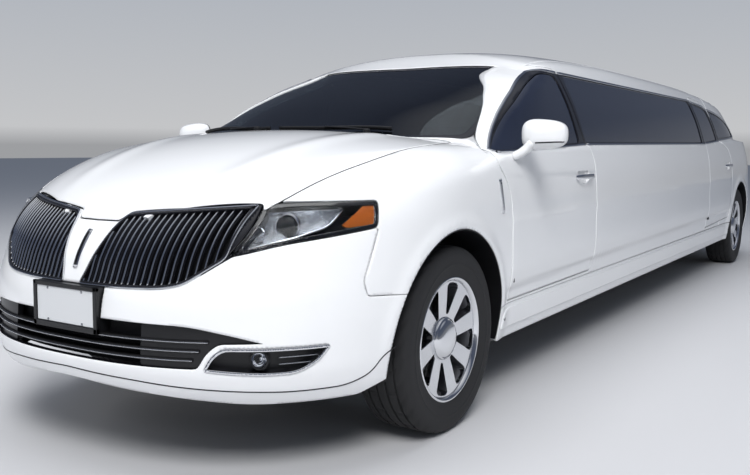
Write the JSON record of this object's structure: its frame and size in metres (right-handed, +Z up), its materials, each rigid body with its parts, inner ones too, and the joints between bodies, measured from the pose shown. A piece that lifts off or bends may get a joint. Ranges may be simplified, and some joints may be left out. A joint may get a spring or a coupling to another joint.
{
  "type": "stretch limousine",
  "caption": "Long white luxury wagon limousine with dark side glass, hinged doors, opening hood and liftgate, steered front wheels and polished spoked wheels on low tyres.",
  "frame": {"origin": "on the ground, under the middle of the body", "axes": "+Z up, the nose points to -Y, +X is the car's left side"},
  "size_m": [2.325, 8.321, 1.712],
  "materials": {
    "paint": "clear-coated white",
    "dark_glass": "tinted",
    "lamp_glass": "clear",
    "chrome": "bright",
    "alloy": "polished",
    "tyre": "matt",
    "black_plastic": "grained",
    "leather": "grained",
    "cast_iron": "as cast",
    "steel": "satin"
  },
  "bodies": {
    "body": {"floor_pan": "black_plastic", "wheel_liners": "black_plastic", "rocker_panels": "paint", "front_bumper": "paint", "grilles": "chrome", "lamps": "lamp_glass", "front_plate": "black_plastic", "front_fenders": "paint", "cowl_panel": "black_plastic", "windshield": "dark_glass", "roof": "paint", "body_sides": "paint", "fixed_side_glass": "dark_glass", "quarter_panels": "paint", "rear_bumper": "paint", "dashboard": "black_plastic", "cabin_furniture": "leather", "engine_block": "cast_iron", "front_subframe": "steel", "rear_axle": "steel", "exhaust": "steel", "hinges": "steel"},
    "hood_lid": {"hood": "paint"},
    "tailgate": {"liftgate": "paint", "rear_glass": "dark_glass"},
    "left_front_side_door": {"left_front_door": "paint", "left_front_door_glass": "dark_glass", "left_mirror": "paint"},
    "left_rear_side_door": {"left_rear_door": "paint", "left_rear_door_glass": "dark_glass"},
    "left_steering": {"left_knuckle": "cast_iron"},
    "right_front_side_door": {"right_front_door": "paint", "right_front_door_glass": "dark_glass", "right_mirror": "paint"},
    "right_rear_side_door": {"right_rear_door": "paint", "right_rear_door_glass": "dark_glass"},
    "right_steering": {"right_knuckle": "cast_iron"},
    "front_left_wheel": {"front_left_tyre": "tyre", "front_left_rim": "alloy"},
    "front_right_wheel": {"front_right_tyre": "tyre", "front_right_rim": "alloy"},
    "rear_left_wheel": {"rear_left_tyre": "tyre", "rear_left_rim": "alloy"},
    "rear_right_wheel": {"rear_right_tyre": "tyre", "rear_right_rim": "alloy"}
  },
  "joints": [
    {"name": "hood_hinge", "type": "hinge", "parent": "body", "child": "hood_lid", "pos_m": [0, -2.8185, 1.13608], "axis": [-1, 0, 0], "range_deg": [0, 60]},
    {"name": "liftgate_hinge", "type": "hinge", "parent": "body", "child": "tailgate", "pos_m": [0, 3.6405, 1.52369], "axis": [1, 0, 0], "range_deg": [0, 80]},
    {"name": "left_front_door_hinge", "type": "hinge", "parent": "body", "child": "left_front_side_door", "pos_m": [0.952, -2.5365, 0.69], "axis": [0, 0, -1], "range_deg": [0, 65]},
    {"name": "left_rear_door_hinge", "type": "hinge", "parent": "body", "child": "left_rear_side_door", "pos_m": [0.952, 1.5525, 0.71], "axis": [0, 0, -1], "range_deg": [0, 65]},
    {"name": "left_steer", "type": "hinge", "parent": "body", "child": "left_steering", "pos_m": [0.745, -3.0805, 0.3705], "axis": [0, 0, 1], "range_deg": [-32, 32]},
    {"name": "right_front_door_hinge", "type": "hinge", "parent": "body", "child": "right_front_side_door", "pos_m": [-0.952, -2.5365, 0.69], "axis": [0, 0, 1], "range_deg": [0, 65]},
    {"name": "right_rear_door_hinge", "type": "hinge", "parent": "body", "child": "right_rear_side_door", "pos_m": [-0.952, 1.5525, 0.71], "axis": [0, 0, 1], "range_deg": [0, 65]},
    {"name": "right_steer", "type": "hinge", "parent": "body", "child": "right_steering", "pos_m": [-0.745, -3.0805, 0.3705], "axis": [0, 0, 1], "range_deg": [-32, 32]},
    {"name": "front_left_wheel_spin", "type": "hinge", "parent": "left_steering", "child": "front_left_wheel", "pos_m": [0.8275, -3.0805, 0.3705], "axis": [1, 0, 0], "continuous": true},
    {"name": "front_right_wheel_spin", "type": "hinge", "parent": "right_steering", "child": "front_right_wheel", "pos_m": [-0.8275, -3.0805, 0.3705], "axis": [1, 0, 0], "continuous": true},
    {"name": "rear_left_wheel_spin", "type": "hinge", "parent": "body", "child": "rear_left_wheel", "pos_m": [0.8275, 2.9625, 0.3705], "axis": [1, 0, 0], "continuous": true},
    {"name": "rear_right_wheel_spin", "type": "hinge", "parent": "body", "child": "rear_right_wheel", "pos_m": [-0.8275, 2.9625, 0.3705], "axis": [1, 0, 0], "continuous": true}
  ],
  "couplings": [
    {"joint": "right_steer", "follows": "left_steer", "ratio": 1}
  ]
}
